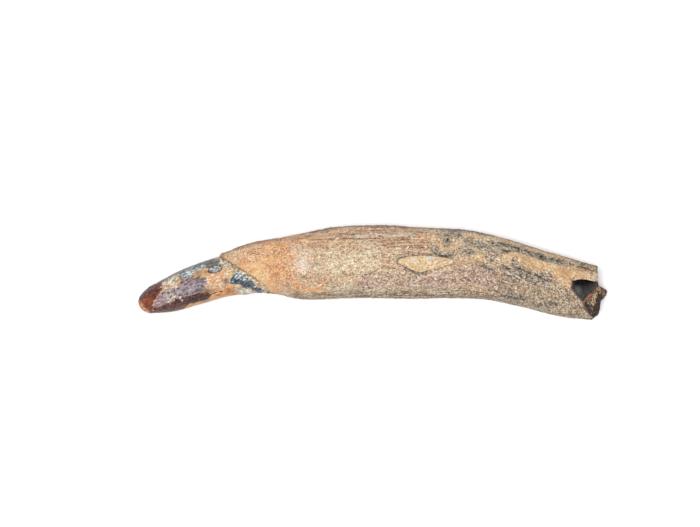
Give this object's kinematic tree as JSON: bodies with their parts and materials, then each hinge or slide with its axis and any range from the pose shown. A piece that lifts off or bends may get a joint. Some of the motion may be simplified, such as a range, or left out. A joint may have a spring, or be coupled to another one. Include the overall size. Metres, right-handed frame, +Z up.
{
  "type": "fossil whale tooth",
  "caption": "Long curved fossil whale tooth lying on its side: bare worn crown, cement-covered root, broken root end with a chip.",
  "frame": {"origin": "middle of the bounding box, on the surface that the tooth lies on", "axes": "+X from the crown's tip to the broken root, +Y towards the convex side of the curve, +Z up"},
  "size_m": [0.1177, 0.0237, 0.0167],
  "materials": {
    "fossil_cement": "matte, finely pitted"
  },
  "bodies": {
    "root": {"tooth": "fossil_cement"}
  },
  "joints": []
}
